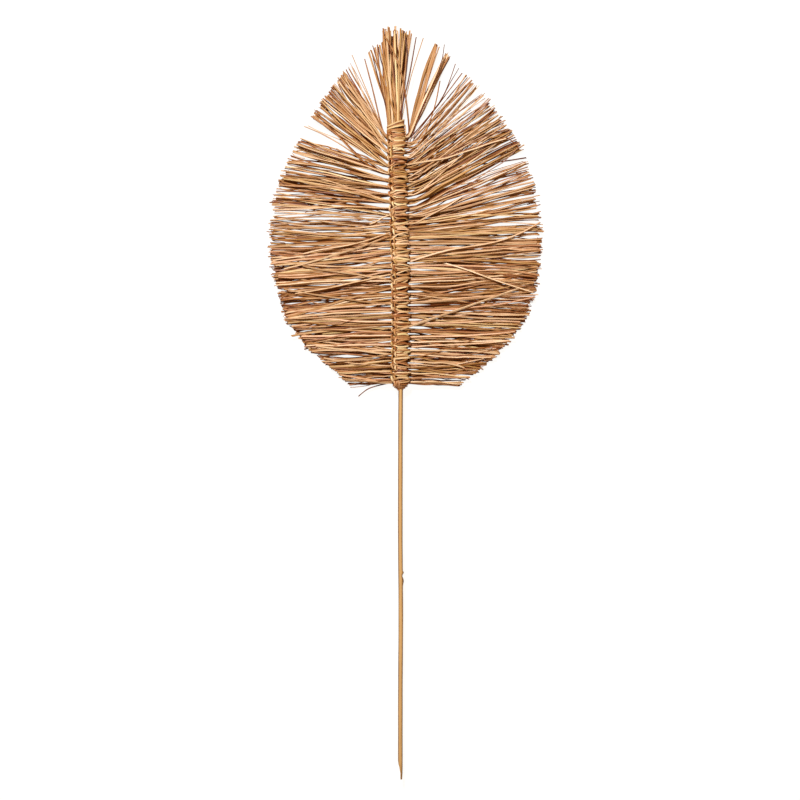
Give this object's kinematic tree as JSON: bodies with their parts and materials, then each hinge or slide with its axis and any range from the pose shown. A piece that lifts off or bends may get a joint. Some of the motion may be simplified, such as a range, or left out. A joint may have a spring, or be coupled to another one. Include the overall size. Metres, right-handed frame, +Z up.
{
  "type": "leaf-shaped straw decoration on a stick",
  "caption": "Flat leaf-shaped fan of dried straw, lashed in courses across a bundled straw spine on a thin bamboo stick; a dried decoration that lies on a surface.",
  "frame": {"origin": "middle of the base knot's flat back, on the resting surface, below the place where the stick leaves the straw", "axes": "+Y along the spine from the stick to the leaf's tip, +X to the right of the leaf's front, +Z up, out of the front"},
  "size_m": [0.328, 0.9007, 0.0217],
  "materials": {
    "straw": "dry matt straw with a faint gloss along the stalks",
    "binding": "dry twisted straw strands",
    "bamboo": "planed split bamboo, satin"
  },
  "bodies": {
    "root": {"bamboo_stick": "bamboo", "core_bundle_and_tuft": "straw", "straw_course_01": "straw", "straw_course_02": "straw", "straw_course_03": "straw", "straw_course_04": "straw", "straw_course_05": "straw", "straw_course_06": "straw", "straw_course_07": "straw", "straw_course_08": "straw", "straw_course_09": "straw", "straw_course_10": "straw", "straw_course_11": "straw", "straw_course_12": "straw", "straw_course_13": "straw", "straw_course_14": "straw", "straw_course_15": "straw", "straw_course_16": "straw", "straw_course_17": "straw", "straw_course_18": "straw", "straw_course_19": "straw", "straw_course_20": "straw", "left_straw_bunch_21": "straw", "left_straw_bunch_22": "straw", "left_straw_bunch_23": "straw", "left_straw_bunch_24": "straw", "left_straw_bunch_25": "straw", "left_straw_bunch_26": "straw", "left_straw_bunch_27": "straw", "left_straw_bunch_28": "straw", "left_straw_bunch_29": "straw", "left_straw_bunch_30": "straw", "left_straw_bunch_31": "straw", "left_straw_bunch_32": "straw", "left_straw_bunch_33": "straw", "left_straw_bunch_34": "straw", "left_straw_bunch_35": "straw", "right_straw_bunch_21": "straw", "right_straw_bunch_22": "straw", "right_straw_bunch_23": "straw", "right_straw_bunch_24": "straw", "right_straw_bunch_25": "straw", "right_straw_bunch_26": "straw", "right_straw_bunch_27": "straw", "right_straw_bunch_28": "straw", "right_straw_bunch_29": "straw", "right_straw_bunch_30": "straw", "right_straw_bunch_31": "straw", "right_straw_bunch_32": "straw", "right_straw_bunch_33": "straw", "right_straw_bunch_34": "straw", "right_straw_bunch_35": "straw", "lashing_straw": "binding", "hitch_chain": "binding", "base_knot": "binding", "top_band": "binding"}
  },
  "joints": []
}
